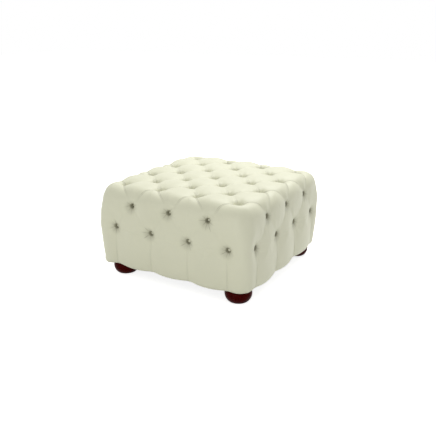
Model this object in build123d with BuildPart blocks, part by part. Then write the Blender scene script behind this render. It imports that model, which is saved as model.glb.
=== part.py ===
# Square footstool, buttoned in diamonds: a box frame of plywood and timber, padded with foam and
# wadding, covered in leather that buttons pull down, on four turned bun feet.
# Millimetres, +Z up. The origin is on the floor under the stool's centre, and -Y is its front.
from build123d import *
from math import cos, pi, sin, sqrt
import os

# Button grid: rows on top, with a row of one button less between each two rows
button_pitch = 150.0
buttons_in_row = 4
outer_row_margin = 75.0  # outer row on top to the side of the cover

# Heights of the whole stool
cover_base_height = 43.0  # floor to the underside of the cover
cover_height = 295.0  # underside of the cover to the crown of its top
upper_row_drop = 62.0  # crown to the upper row of side buttons
lower_row_drop = 148.0  # crown to the lower row of side buttons

# Leather cover
leather_thickness = 1.2
seat_gap = 0.3  # leather to what sits on it and to what it is wrapped under
corner_radius = 50.0  # the upright corners, seen from above
top_edge_radius = 50.0
bottom_edge_radius = 14.0
turn_under = 22.0  # leather turned in under the rails

# Tufts: a well at each button, and a pleat from each button to its neighbours
top_well_depth = 28.0
side_well_depth = 24.0
well_reach = 50.0  # button centre to where the pillow is level
pleat_half_width = 34.0
pleat_middle_half_width = 29.0
pleat_end_depth = 14.0
pleat_middle_depth = 7.0
upright_pleat_middle_depth = 8.0
upright_pleat_middle_half_width = 50.0
hem_depth = 10.0
hem_half_width = 70.0
pleat_inset = 8.0  # the pleat starts this far from the button's centre
lip_rise = 1.0  # the cutters' rims stand this far above the leather

# Covered buttons, with a wire eye at the back
button_diameter = 19.0
button_height = 7.0
button_rim = 1.6
button_clearance = 1.0
eye_plate_diameter = 13.0
eye_plate_thickness = 0.8
eye_wire_radius = 0.5
eye_hole_diameter = 7.0  # in the leather and the wadding
fit_clearance = 0.1  # round plates, screws, bolts and staples in their holes

# Twine, tied off behind a washer
twine_radius = 0.6
twine_clearance = 0.1
knot_radius = 2.8
washer_diameter = 14.0
washer_hole_diameter = 4.4
washer_thickness = 1.6
twine_hole_diameter = 6.0  # in the deck and the rails
foam_hole_diameter = 12.0

# Padding
layer_gap = 0.5
wadding_thickness = 12.0
wadding_under_button = 3.0
side_foam_thickness = 18.8
top_foam_thickness = 29.5
pit_mouth_radius = 40.0
pit_floor_radius = 14.0

# Frame
deck_thickness = 9.0
rail_thickness = 18.0
block_side = 60.0
block_height = 90.0
brace_thickness = 18.0
brace_height = 60.0

# Wood screws
screw_diameter = 4.0
screw_head_diameter = 8.0
screw_head_height = 2.6
screw_tip_length = 5.0
long_screw_length = 45.0  # rail to rail, rail to block and rail to brace
deck_screw_length = 30.0
rail_screw_margin = 32.0  # outer screws of a row to the edge of the rail
block_screw_margin = 24.0
block_screw_stagger = 10.0  # one rail's screws stand this much above the other's

# Feet, each on a hanger bolt
foot_axis_inset = 15.0  # inside of the rails to the foot's axis
foot_radius = 46.0
foot_top_radius = 41.0
foot_base_radius = 34.0
foot_bulge_height = 27.0
foot_lift = 1.0  # the foot's wood stays this far off the floor
bolt_diameter = 8.0
bolt_up_length = 28.0
bolt_down_length = 24.0
bolt_chamfer = 1.0
bolt_end_room = 1.0
insert_diameter = 12.0
insert_flange_diameter = 17.0
insert_flange_thickness = 1.5
insert_length = 15.0
glide_radius = 14.0
glide_thickness = 4.0
glide_edge_radius = 0.8
glide_nail_radius = 1.5
glide_nail_length = 10.0
bolt_hole_room = 1.0  # in the dust cover, round the bolt

# Underside
dust_cover_thickness = 0.6
dust_cover_margin = 6.0  # side of the frame to the edge of the dust cover
staple_inset = 12.0  # side of the frame to the line of staples
staple_end_margin = 75.0  # end of the frame's side to its last staple
cover_staple_count = 9  # along each side, and one less for the dust cover
staple_crown = 10.0
staple_leg = 8.0
staple_wire = 0.6
staple_width = 1.2
staple_room = 0.3  # round the legs in their slots

overrun = 10.0  # cutters run past what they cut

# Places worked out from the sizes
half_width = ((buttons_in_row - 1) * button_pitch + 2 * outer_row_margin) / 2
crown = cover_base_height + cover_height
upper_row = crown - upper_row_drop
lower_row = crown - lower_row_drop
wadding_skin = leather_thickness + layer_gap
core_skin = wadding_skin + wadding_thickness
foam_skin = core_skin + layer_gap
foam_half = half_width - foam_skin
foam_top = crown - foam_skin
deck_top = foam_top - top_foam_thickness
rail_top = deck_top - deck_thickness
frame_half = foam_half - side_foam_thickness
frame_inside = frame_half - rail_thickness
frame_base = cover_base_height + leather_thickness + seat_gap
foam_base = frame_base + layer_gap
block_top = frame_base + block_height
foot_place = frame_inside - foot_axis_inset
staple_seat = cover_base_height - seat_gap
dust_cover_top = staple_seat - staple_wire
foot_top = dust_cover_top - dust_cover_thickness
button_radius = button_diameter / 2
screw_radius = screw_diameter / 2
screw_head_radius = screw_head_diameter / 2
bolt_radius = bolt_diameter / 2
block_place = frame_inside - block_side / 2
rail_middle = frame_half - rail_thickness / 2
brace_place = button_pitch / 4
brace_middle = rail_top - brace_height / 2
near = button_pitch / 4  # two places nearer than this are one

SIDES = ("front", "right", "back", "left")
CORNERS = ("front_left", "front_right", "back_right", "back_left")


def row_places(count):
    """Places of the buttons of one row, with the middle of the row at zero."""
    return [(i - (count - 1) / 2) * button_pitch for i in range(count)]


main_places = row_places(buttons_in_row)
between_places = row_places(buttons_in_row - 1)


def is_place(value, places):
    return any(abs(value - p) < near for p in places)


# Each button's place is a plane whose normal points out of the cover
def top_planes():
    spots = [(x, y) for x in main_places for y in main_places]
    spots += [(x, y) for x in between_places for y in between_places]
    return [Plane(origin=(x, y, crown), x_dir=(1, 0, 0), z_dir=(0, 0, 1)) for x, y in spots]


def side_planes(turn):
    """Planes of one side's buttons: the front's, turned about Z by a number of quarters."""
    spots = [(x, upper_row) for x in between_places] + [(x, lower_row) for x in main_places]
    front = [Plane(origin=(x, -half_width, z), x_dir=(1, 0, 0), z_dir=(0, -1, 0)) for x, z in spots]
    if turn == 0:
        return front
    return [Plane(Rotation(0, 0, 90 * turn) * p.location) for p in front]


def well_profile_radius(depth):
    """Radius of the arc from a well's floor up to its lip, level at the lip."""
    across = well_reach - button_radius - button_clearance
    down = depth + lip_rise
    return (across ** 2 + down ** 2) / (2 * down)


def well_cutter(plane, depth, skin):
    """The funnel that a button pulls down, with the surface moved in by skin."""
    radius = well_profile_radius(depth)
    offset_radius = radius - skin
    centre_height = lip_rise - radius
    floor = -depth - skin
    floor_radius = well_reach - sqrt(offset_radius ** 2 - (floor - centre_height) ** 2)
    middle_radius = (floor_radius + well_reach) / 2
    middle_height = centre_height + sqrt(offset_radius ** 2 - (well_reach - middle_radius) ** 2)
    lip = lip_rise - skin
    with BuildPart(plane, mode=Mode.PRIVATE) as well:
        with BuildSketch(Plane(plane.origin, x_dir=plane.x_dir, z_dir=-plane.y_dir)):
            with BuildLine():
                Line((0, floor), (floor_radius, floor))
                ThreePointArc((floor_radius, floor), (middle_radius, middle_height), (well_reach, lip))
                Line((well_reach, lip), (0, lip))
                Line((0, lip), (0, floor))
            make_face()
        revolve(axis=Axis(plane.origin, plane.z_dir))
    return well.part


def pleat_section(plane, depth, half_across, skin):
    """A valley between two pillows: two arcs that meet at the fold, moved in by skin."""
    radius = (half_across ** 2 + (depth + lip_rise) ** 2) / (2 * (depth + lip_rise))
    offset_radius = radius - skin
    centre_height = lip_rise - radius
    lip = lip_rise - skin
    fold = centre_height + sqrt(offset_radius ** 2 - half_across ** 2)
    quarter = half_across / 2
    flank = centre_height + sqrt(offset_radius ** 2 - quarter ** 2)
    with BuildSketch(plane, mode=Mode.PRIVATE) as section:
        with BuildLine():
            ThreePointArc((half_across, lip), (quarter, flank), (0, fold))
            ThreePointArc((0, fold), (-quarter, flank), (-half_across, lip))
            Line((-half_across, lip), (half_across, lip))
        make_face()
    return section.sketch


def pleat_cutter(stations, skin):
    """Loft through sections across the pleat. A station is a point, the way along, the outward normal,
    the depth and the half width."""
    sections = []
    for point, way, normal, depth, half_across in stations:
        outward = Vector(normal).normalized()
        across = Vector(way).cross(outward).normalized()
        plane = Plane(point, x_dir=across, z_dir=across.cross(outward))
        sections.append(pleat_section(plane, depth, half_across, skin))
    return loft(sections, mode=Mode.PRIVATE)


def straight_pleat(start, end, normal, skin):
    """Pleat between two buttons of one face."""
    start, end = Vector(start), Vector(end)
    way = end - start
    step = way.normalized() * pleat_inset
    stations = [
        (start + step, way, normal, pleat_end_depth, pleat_half_width),
        ((start + end) / 2, way, normal, pleat_middle_depth, pleat_middle_half_width),
        (end - step, way, normal, pleat_end_depth, pleat_half_width),
    ]
    return pleat_cutter(stations, skin)


def edge_pleat(top_place, side_place, skin):
    """Pleat from the outer row on top, over the rounded edge of the right side, to the upper row there."""
    row = half_width - outer_row_margin
    level_run = half_width - top_edge_radius - row
    bend_run = top_edge_radius * pi / 2
    upright_run = upper_row_drop - top_edge_radius
    drift = (side_place - top_place) / (level_run + bend_run + upright_run)
    stations = [
        (
            (row + pleat_inset, top_place + drift * pleat_inset, crown),
            (1, drift, 0),
            (0, 0, 1),
            pleat_end_depth,
            pleat_half_width,
        )
    ]
    for turn in (pi / 8, pi / 4, 3 * pi / 8):
        point = (
            half_width - top_edge_radius * (1 - sin(turn)),
            top_place + drift * (level_run + top_edge_radius * turn),
            crown - top_edge_radius * (1 - cos(turn)),
        )
        stations.append(
            (
                point,
                (cos(turn), drift, -sin(turn)),
                (sin(turn), 0, cos(turn)),
                pleat_middle_depth,
                pleat_middle_half_width,
            )
        )
    stations.append(
        (
            (half_width, side_place - drift * pleat_inset, upper_row + pleat_inset),
            (0, drift, -1),
            (1, 0, 0),
            pleat_end_depth,
            pleat_half_width,
        )
    )
    return pleat_cutter(stations, skin)


def hem_pleat(place, skin):
    """Upright pleat from the lower row of the right side down past the hem."""
    way, normal = (0, 0, -1), (1, 0, 0)
    middle = (lower_row + cover_base_height) / 2
    stations = [
        ((half_width, place, lower_row - pleat_inset), way, normal, pleat_end_depth, pleat_half_width),
        (
            (half_width, place, middle),
            way,
            normal,
            upright_pleat_middle_depth,
            upright_pleat_middle_half_width,
        ),
        ((half_width, place, cover_base_height - overrun), way, normal, hem_depth, hem_half_width),
    ]
    return pleat_cutter(stations, skin)


def quarter_pleats(skin):
    """Every pleat of the quarter where x and y are positive."""
    main = [m for m in main_places if m > -near]
    between = [b for b in between_places if b > -near]
    steps = (-button_pitch / 2, button_pitch / 2)
    cutters = []
    for x in main:
        for y in main:
            for to_x in (x + step for step in steps):
                for to_y in (y + step for step in steps):
                    if is_place(to_x, between) and is_place(to_y, between):
                        cutters.append(straight_pleat((x, y, crown), (to_x, to_y, crown), (0, 0, 1), skin))
    right = []
    for place in main:
        for other in (place + step for step in steps):
            if is_place(other, between):
                right.append(edge_pleat(place, other, skin))
                upper, lower = (half_width, other, upper_row), (half_width, place, lower_row)
                right.append(straight_pleat(upper, lower, (1, 0, 0), skin))
        right.append(hem_pleat(place, skin))
    swap = Plane((0, 0, 0), z_dir=(1, -1, 0))  # mirrors the right side onto the back
    return cutters + right + [cutter.mirror(swap) for cutter in right]


def in_quarter(plane):
    return plane.origin.X > -near and plane.origin.Y > -near


def rounded_quarter(skin, base):
    """A quarter of the rounded block, moved in by skin, standing on base."""
    side = half_width - skin
    radius = corner_radius - skin
    bend = side - radius + radius * cos(pi / 4)
    with BuildPart(mode=Mode.PRIVATE) as block:
        with BuildSketch(Plane.XY.offset(base)):
            with BuildLine():
                Line((0, 0), (side, 0))
                Line((side, 0), (side, side - radius))
                ThreePointArc((side, side - radius), (bend, bend), (side - radius, side))
                Line((side - radius, side), (0, side))
                Line((0, side), (0, 0))
            make_face()
        extrude(amount=crown - skin - base)
        top = block.faces().sort_by(Axis.Z)[-1]
        fillet(top.edges().filter_by(is_outside), top_edge_radius - skin)
    return block


def is_outside(edge):
    """True for an edge away from the planes x = 0 and y = 0."""
    return min(edge.center().X, edge.center().Y) > overrun


def tufted_quarter(skin):
    """A quarter of the buttoned form, moved in by skin."""
    block = rounded_quarter(skin, cover_base_height + skin)
    with block:
        bottom = block.faces().sort_by(Axis.Z)[0]
        fillet(bottom.edges().filter_by(is_outside), bottom_edge_radius - skin)
        add(quarter_pleats(skin), mode=Mode.SUBTRACT)
        add(quarter_wells(skin), mode=Mode.SUBTRACT)
    return block.part


def quarter_wells(skin):
    top = [well_cutter(p, top_well_depth, skin) for p in quarter_top_planes]
    return top + [well_cutter(p, side_well_depth, skin) for p in quarter_side_planes]


def padded_core(skin, base):
    """A quarter of the plain padded form inside the wadding, with a pit at each button."""
    block = rounded_quarter(skin, base)
    with block:
        add(pit_cutters(quarter_top_planes, top_well_depth, skin), mode=Mode.SUBTRACT)
        add(pit_cutters(quarter_side_planes, side_well_depth, skin), mode=Mode.SUBTRACT)
    return block.part


def pit_cutters(planes, well_depth, skin):
    """Tapered pits that leave room for the wadding at the bottom of each well."""
    floor = -(well_depth + wadding_skin + wadding_under_button + skin - core_skin)
    rim_radius = pit_mouth_radius + lip_rise * (pit_mouth_radius - pit_floor_radius) / (-skin - floor)
    with BuildPart(mode=Mode.PRIVATE) as pit:
        with BuildSketch(Plane.XY.offset(floor)):
            Circle(pit_floor_radius)
        with BuildSketch(Plane.XY.offset(lip_rise - skin)):
            Circle(rim_radius)
        loft()
    return [plane.location * pit.part for plane in planes]


def bore_cutters(planes, radius, start, end):
    """Round holes along each plane's normal, from start to end measured along it."""
    with BuildPart(mode=Mode.PRIVATE) as bore:
        with BuildSketch(Plane.XY.offset(start)):
            Circle(radius)
        extrude(amount=end - start)
    return [plane.location * bore.part for plane in planes]


def screws(planes, length, room):
    """Countersunk wood screws with their heads flush with the planes, or the holes for them with room."""
    head, shank = screw_head_radius + room, screw_radius + room
    with BuildPart(mode=Mode.PRIVATE) as screw:
        with BuildSketch(Plane.XZ):
            with BuildLine():
                Polyline(
                    (0, 0),
                    (head, 0),
                    (shank, -screw_head_height),
                    (shank, screw_tip_length - length),
                    (0, -length - room),
                    (0, 0),
                )
            make_face()
        revolve(axis=Axis.Z)
    return [plane.location * screw.part for plane in planes]


def staples(planes, room):
    """Staples with their crowns under the planes and their legs up, or the slots for them with room."""
    half_crown = staple_crown / 2 + room
    inner = staple_crown / 2 - staple_wire - room
    with BuildPart(mode=Mode.PRIVATE) as staple:
        with BuildSketch(Plane.XZ):
            with BuildLine():
                Polyline(
                    (-half_crown, -staple_wire),
                    (half_crown, -staple_wire),
                    (half_crown, staple_leg + room),
                    (inner, staple_leg + room),
                    (inner, 0),
                    (-inner, 0),
                    (-inner, staple_leg + room),
                    (-half_crown, staple_leg + room),
                    (-half_crown, -staple_wire),
                )
            make_face()
        extrude(amount=staple_width / 2 + room, both=True)
    return [plane.location * staple.part for plane in planes]


def turned(turn):
    """The floor plane, turned about Z by a number of quarters: its -Y faces the side of that number."""
    return Plane(Rotation(0, 0, 90 * turn))


def on_side(turn, along, out, height, outward):
    """A plane on one side: outward is its normal, pointing out of that side or upwards."""
    flat = turned(turn)
    return Plane(
        flat.from_local_coords((along, -out, height)),
        x_dir=flat.x_dir,
        z_dir=-flat.y_dir if outward else flat.z_dir,
    )


def meeting(part, cutters):
    """The cutters whose boxes meet the part's box."""
    box = part.bounding_box()
    return [cutter for cutter in cutters if box.overlaps(cutter.bounding_box())]


# Places of the screws, staples and bolts
rail_screw_heights = (
    frame_base + rail_screw_margin,
    (frame_base + rail_top) / 2,
    rail_top - rail_screw_margin,
)
deck_screw_places = [
    (i + 1 / 2) * button_pitch / 2 for i in range(1 - buttons_in_row, buttons_in_row - 1)
]
block_screw_heights = (frame_base + block_screw_margin, block_top - block_screw_margin)
rail_screw_planes = [
    on_side(turn, side * rail_middle, frame_half, height, True)
    for turn in (0, 2)
    for side in (-1, 1)
    for height in rail_screw_heights
]
block_screw_planes = [
    on_side(turn, side * block_place, frame_half, height + block_screw_stagger * (turn % 2), True)
    for turn in range(4)
    for side in (-1, 1)
    for height in block_screw_heights
]
brace_screw_planes = [
    on_side(turn, side * brace_place, frame_half, brace_middle, True) for turn in (1, 3) for side in (-1, 1)
]
deck_screw_planes = [
    on_side(turn, place, rail_middle, deck_top, False) for turn in range(4) for place in deck_screw_places
]
staple_line = frame_half - staple_inset
staple_reach = frame_half - staple_end_margin
staple_spacing = 2 * staple_reach / (cover_staple_count - 1)
cover_staple_places = [i * staple_spacing - staple_reach for i in range(cover_staple_count)]
dust_staple_places = [place + staple_spacing / 2 for place in cover_staple_places[:-1]]
cover_staple_planes = [
    on_side(turn, place, staple_line, staple_seat, False)
    for turn in range(4)
    for place in cover_staple_places
]
dust_staple_planes = [
    on_side(turn, place, staple_line, foot_top, False) for turn in range(4) for place in dust_staple_places
]
foot_planes = {
    name: Plane(origin=(x * foot_place, y * foot_place, 0), x_dir=(1, 0, 0), z_dir=(0, 0, 1))
    for name, (x, y) in zip(CORNERS, ((-1, -1), (1, -1), (1, 1), (-1, 1)))
}
top_button_planes = top_planes()
side_button_planes = [side_planes(turn) for turn in range(4)]
quarter_top_planes = [plane for plane in top_button_planes if in_quarter(plane)]
quarter_side_planes = [plane for side in side_button_planes for plane in side if in_quarter(plane)]
screw_holes = (
    screws(rail_screw_planes + block_screw_planes + brace_screw_planes, long_screw_length, fit_clearance)
    + screws(deck_screw_planes, deck_screw_length, fit_clearance)
)
cover_staple_slots = staples(cover_staple_planes, staple_room)
dust_staple_slots = staples(dust_staple_planes, staple_room)

os.makedirs("parts", exist_ok=True)


# Leather cover, a thin shell whose lower edge is turned in under the rails
eye_holes = bore_cutters(
    quarter_top_planes, eye_hole_diameter / 2, -top_well_depth - overrun, overrun - top_well_depth
) + bore_cutters(
    quarter_side_planes, eye_hole_diameter / 2, -side_well_depth - overrun, overrun - side_well_depth
)
with BuildPart() as cover:
    add(tufted_quarter(0))
    add(tufted_quarter(leather_thickness), mode=Mode.SUBTRACT)
    with BuildSketch(Plane.XY.offset(cover_base_height - overrun)):
        Rectangle(2 * (frame_half - turn_under), 2 * (frame_half - turn_under))
    extrude(amount=2 * overrun, mode=Mode.SUBTRACT)
    add(eye_holes, mode=Mode.SUBTRACT)
    add(meeting(cover.part, cover_staple_slots + dust_staple_slots), mode=Mode.SUBTRACT)
    mirror(about=Plane.YZ)
    mirror(about=Plane.XZ)
cover.part.label = "cover"
export_step(cover.part, "parts/cover.step")


# Wadding, which fills the pillows between the leather and the foam
with BuildPart() as wadding:
    add(tufted_quarter(wadding_skin))
    add(padded_core(core_skin, cover_base_height - overrun), mode=Mode.SUBTRACT)
    add(eye_holes, mode=Mode.SUBTRACT)
    mirror(about=Plane.YZ)
    mirror(about=Plane.XZ)
wadding.part.label = "wadding"
export_step(wadding.part, "parts/wadding.step")


# Foam: a slab on the deck, and a panel on each rail up to the slab
with BuildPart() as foam_form:
    add(padded_core(foam_skin, foam_base))
    foam_hole = foam_hole_diameter / 2
    add(bore_cutters(quarter_top_planes, foam_hole, deck_top - crown - overrun, 0), mode=Mode.SUBTRACT)
    hole_end = frame_half - half_width - overrun
    add(bore_cutters(quarter_side_planes, foam_hole, hole_end, 0), mode=Mode.SUBTRACT)
    mirror(about=Plane.YZ)
    mirror(about=Plane.XZ)

with BuildPart() as top_foam:
    add(foam_form.part)
    split(bisect_by=Plane.XY.offset(deck_top), keep=Keep.TOP)
top_foam.part.label = "top_foam"
export_step(top_foam.part, "parts/top_foam.step")

for turn, side in enumerate(SIDES):
    half_length = frame_half if turn % 2 else foam_half + overrun
    with BuildPart() as side_foam:
        add(foam_form.part)
        with BuildSketch(turned(turn).offset(foam_base - overrun)):
            with Locations((0, -(frame_half + foam_half + overrun) / 2)):
                Rectangle(2 * half_length, foam_half + overrun - frame_half)
        extrude(amount=deck_top - foam_base + overrun, mode=Mode.INTERSECT)
    side_foam.part.label = f"{side}_foam"
    export_step(side_foam.part, f"parts/{side}_foam.step")


# Frame: a deck on four upright rails, two braces under it and a block in each corner
twine_hole = twine_hole_diameter / 2
with BuildPart() as deck_board:
    with BuildSketch(Plane.XY.offset(rail_top)):
        Rectangle(2 * frame_half, 2 * frame_half)
    extrude(amount=deck_thickness)
    add(
        bore_cutters(top_button_planes, twine_hole, rail_top - crown - overrun, deck_top - crown + overrun),
        mode=Mode.SUBTRACT,
    )
    add(meeting(deck_board.part, screw_holes), mode=Mode.SUBTRACT)
deck_board.part.label = "deck_board"
export_step(deck_board.part, "parts/deck_board.step")

for turn, side in enumerate(SIDES):
    half_length = frame_inside if turn % 2 else frame_half
    with BuildPart() as rail:
        with BuildSketch(turned(turn).offset(frame_base)):
            with Locations((0, -rail_middle)):
                Rectangle(2 * half_length, rail_thickness)
        extrude(amount=rail_top - frame_base)
        add(
            bore_cutters(
                side_button_planes[turn],
                twine_hole,
                frame_inside - half_width - overrun,
                frame_half - half_width + overrun,
            ),
            mode=Mode.SUBTRACT,
        )
        add(meeting(rail.part, screw_holes), mode=Mode.SUBTRACT)
        add(meeting(rail.part, cover_staple_slots + dust_staple_slots), mode=Mode.SUBTRACT)
    rail.part.label = f"{side}_rail"
    export_step(rail.part, f"parts/{side}_rail.step")

for side, place in (("front", -brace_place), ("back", brace_place)):
    with BuildPart() as brace:
        with BuildSketch(Plane.XY.offset(rail_top - brace_height)):
            with Locations((0, place)):
                Rectangle(2 * frame_inside, brace_thickness)
        extrude(amount=brace_height)
        add(meeting(brace.part, screw_holes), mode=Mode.SUBTRACT)
    brace.part.label = f"{side}_brace"
    export_step(brace.part, f"parts/{side}_brace.step")

insert_hole = insert_diameter / 2 + fit_clearance
flange_hole = insert_flange_diameter / 2 + fit_clearance
bolt_hole = bolt_radius + fit_clearance
block_share = block_place / foot_place
for corner, plane in foot_planes.items():
    with BuildPart() as block:
        with BuildSketch(Plane.XY.offset(frame_base)):
            with Locations((plane.origin.X * block_share, plane.origin.Y * block_share)):
                Rectangle(block_side, block_side)
        extrude(amount=block_height)
        add(
            bore_cutters([plane], flange_hole, frame_base - overrun, frame_base + insert_flange_thickness)
            + bore_cutters([plane], insert_hole, frame_base - overrun, frame_base + insert_length)
            + bore_cutters(
                [plane], bolt_hole, frame_base - overrun, frame_base + bolt_up_length + bolt_end_room
            ),
            mode=Mode.SUBTRACT,
        )
        add(meeting(block.part, screw_holes), mode=Mode.SUBTRACT)
    block.part.label = f"{corner}_block"
    export_step(block.part, f"parts/{corner}_block.step")


# Wood screws of the frame
for name, planes, length in (
    ("rail_screws", rail_screw_planes, long_screw_length),
    ("block_screws", block_screw_planes, long_screw_length),
    ("brace_screws", brace_screw_planes, long_screw_length),
    ("deck_screws", deck_screw_planes, deck_screw_length),
):
    with BuildPart() as screw_group:
        add(screws(planes, length, 0))
    screw_group.part.label = name
    export_step(screw_group.part, f"parts/{name}.step")


# Covered buttons: a leather dome, a plate with a wire eye, a loop of twine and a washer it is tied behind
twine_bend_radius = eye_wire_radius + twine_radius + twine_clearance
eye_ring_radius = twine_bend_radius + twine_radius + twine_clearance

with BuildPart() as button:
    with BuildSketch(Plane.XZ):
        with BuildLine():
            Line((0, 0), (button_radius, 0))
            Line((button_radius, 0), (button_radius, button_rim))
            TangentArc((0, button_height), (button_radius, button_rim), tangent=(1, 0))
            Line((0, button_height), (0, 0))
        make_face()
    revolve(axis=Axis.Z)
    with BuildSketch():
        Circle(eye_plate_diameter / 2 + fit_clearance)
    extrude(amount=eye_plate_thickness, mode=Mode.SUBTRACT)

with BuildPart() as eye:
    with BuildSketch():
        Circle(eye_plate_diameter / 2)
    extrude(amount=eye_plate_thickness)
    with BuildSketch():
        with Locations((eye_ring_radius, 0)):
            Circle(eye_wire_radius)
    revolve(axis=Axis.Y, revolution_arc=180)

with BuildPart() as washer:
    with BuildSketch():
        Circle(washer_diameter / 2)
        Circle(washer_hole_diameter / 2, mode=Mode.SUBTRACT)
    extrude(amount=-washer_thickness)


def tied_twine(washer_seat):
    """Twine over the eye's wire, down both sides and knotted behind the washer. Heights are from the
    button's back."""
    bend = Plane.XY.offset(-eye_ring_radius)
    knot_height = washer_seat - washer_thickness - knot_radius - twine_clearance
    with BuildPart(mode=Mode.PRIVATE) as twine:
        with BuildSketch(bend):
            with Locations((0, twine_bend_radius)):
                Circle(twine_radius)
        revolve(axis=Axis(bend.origin, (1, 0, 0)), revolution_arc=180)
        with BuildSketch(bend):
            with Locations((0, twine_bend_radius), (0, -twine_bend_radius)):
                Circle(twine_radius)
        extrude(amount=knot_height + eye_ring_radius)
        with Locations((0, 0, knot_height)):
            Sphere(knot_radius)
    return twine.part


button_groups = [("top", top_button_planes, top_well_depth, crown - rail_top)]
button_groups += [
    (side, side_button_planes[turn], side_well_depth, half_width - frame_inside)
    for turn, side in enumerate(SIDES)
]
for group, planes, depth, washer_depth in button_groups:
    seats = [plane.offset(seat_gap - depth).location for plane in planes]
    washer_seats = [plane.offset(-washer_depth).location for plane in planes]
    with BuildPart() as buttons:
        add([seat * button.part for seat in seats])
    buttons.part.label = f"{group}_buttons"
    export_step(buttons.part, f"parts/{group}_buttons.step")

    with BuildPart() as eyes:
        add([seat * eye.part for seat in seats])
    eyes.part.label = f"{group}_button_eyes"
    export_step(eyes.part, f"parts/{group}_button_eyes.step")

    with BuildPart() as twines:
        add([seat * tied_twine(depth - seat_gap - washer_depth) for seat in seats])
    twines.part.label = f"{group}_twines"
    export_step(twines.part, f"parts/{group}_twines.step")

    with BuildPart() as washers:
        add([seat * washer.part for seat in washer_seats])
    washers.part.label = f"{group}_washers"
    export_step(washers.part, f"parts/{group}_washers.step")


# Underside: a thin dust cover over the opening, and the staples of the leather and of the dust cover
with BuildPart() as dust_cover:
    with BuildSketch(Plane.XY.offset(foot_top)):
        Rectangle(2 * (frame_half - dust_cover_margin), 2 * (frame_half - dust_cover_margin))
    extrude(amount=dust_cover_thickness)
    add(
        bore_cutters(list(foot_planes.values()), bolt_radius + bolt_hole_room, foot_top - overrun, crown),
        mode=Mode.SUBTRACT,
    )
    add(dust_staple_slots, mode=Mode.SUBTRACT)
dust_cover.part.label = "dust_cover"
export_step(dust_cover.part, "parts/dust_cover.step")

for name, planes in (("cover_staples", cover_staple_planes), ("dust_cover_staples", dust_staple_planes)):
    with BuildPart() as staple_group:
        add(staples(planes, 0))
    staple_group.part.label = name
    export_step(staple_group.part, f"parts/{name}.step")


# Turned feet: a bun on a hanger bolt that screws into an insert in the corner block, with a glide below
with BuildPart() as foot_form:
    with BuildSketch(Plane.XZ):
        with BuildLine():
            Line((0, foot_lift), (foot_base_radius, foot_lift))
            TangentArc((foot_radius, foot_bulge_height), (foot_base_radius, foot_lift), tangent=(0, -1))
            TangentArc((foot_radius, foot_bulge_height), (foot_top_radius, foot_top), tangent=(0, 1))
            Line((foot_top_radius, foot_top), (0, foot_top))
            Line((0, foot_top), (0, foot_lift))
        make_face()
    revolve(axis=Axis.Z)
    bolt_end = foot_top - bolt_down_length - bolt_end_room
    nail_end = glide_thickness + glide_nail_length + fit_clearance
    add(
        bore_cutters([Plane.XY], bolt_hole, bolt_end, foot_top + overrun)
        + bore_cutters([Plane.XY], glide_radius + fit_clearance, -overrun, glide_thickness)
        + bore_cutters([Plane.XY], glide_nail_radius + fit_clearance, 0, nail_end),
        mode=Mode.SUBTRACT,
    )
for corner, plane in foot_planes.items():
    with BuildPart() as foot:
        add(plane.location * foot_form.part)
    foot.part.label = f"{corner}_foot"
    export_step(foot.part, f"parts/{corner}_foot.step")

foot_spots = [(plane.origin.X, plane.origin.Y) for plane in foot_planes.values()]
with BuildPart() as hanger_bolts:
    with BuildSketch(Plane.XY.offset(foot_top - bolt_down_length)):
        with Locations(*foot_spots):
            Circle(bolt_radius)
    extrude(amount=frame_base + bolt_up_length - foot_top + bolt_down_length)
    chamfer(hanger_bolts.edges().filter_by(GeomType.CIRCLE), bolt_chamfer)
hanger_bolts.part.label = "hanger_bolts"
export_step(hanger_bolts.part, "parts/hanger_bolts.step")

with BuildPart() as threaded_inserts:
    with BuildSketch(Plane.XY.offset(frame_base)):
        with Locations(*foot_spots):
            Circle(insert_flange_diameter / 2)
    extrude(amount=insert_flange_thickness)
    with BuildSketch(Plane.XY.offset(frame_base)):
        with Locations(*foot_spots):
            Circle(insert_diameter / 2)
    extrude(amount=insert_length)
    with BuildSketch(Plane.XY.offset(frame_base)):
        with Locations(*foot_spots):
            Circle(bolt_hole)
    extrude(amount=insert_length, mode=Mode.SUBTRACT)
threaded_inserts.part.label = "threaded_inserts"
export_step(threaded_inserts.part, "parts/threaded_inserts.step")

with BuildPart() as glides:
    with BuildSketch():
        with Locations(*foot_spots):
            Circle(glide_radius)
    extrude(amount=glide_thickness)
    fillet(glides.faces().sort_by(Axis.Z)[0:4].edges(), glide_edge_radius)
    with BuildSketch(Plane.XY.offset(glide_thickness)):
        with Locations(*foot_spots):
            Circle(glide_nail_radius)
    extrude(amount=glide_nail_length)
glides.part.label = "foot_glides"
export_step(glides.part, "parts/foot_glides.step")
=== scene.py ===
import bpy
import math
import numpy as np
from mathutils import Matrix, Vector


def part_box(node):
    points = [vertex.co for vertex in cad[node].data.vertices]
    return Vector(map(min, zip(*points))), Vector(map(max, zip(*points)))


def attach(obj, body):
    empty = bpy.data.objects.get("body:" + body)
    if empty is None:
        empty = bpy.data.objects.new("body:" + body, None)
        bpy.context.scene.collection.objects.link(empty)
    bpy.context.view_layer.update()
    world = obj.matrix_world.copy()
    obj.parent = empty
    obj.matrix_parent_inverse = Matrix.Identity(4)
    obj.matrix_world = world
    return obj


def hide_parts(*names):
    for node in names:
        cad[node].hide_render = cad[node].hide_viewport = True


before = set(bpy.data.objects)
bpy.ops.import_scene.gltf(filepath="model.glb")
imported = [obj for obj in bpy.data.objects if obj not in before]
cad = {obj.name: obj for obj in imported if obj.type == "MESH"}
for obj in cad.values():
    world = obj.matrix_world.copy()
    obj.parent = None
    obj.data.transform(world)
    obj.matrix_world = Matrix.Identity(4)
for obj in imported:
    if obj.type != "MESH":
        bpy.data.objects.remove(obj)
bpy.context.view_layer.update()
scene = bpy.context.scene


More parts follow.
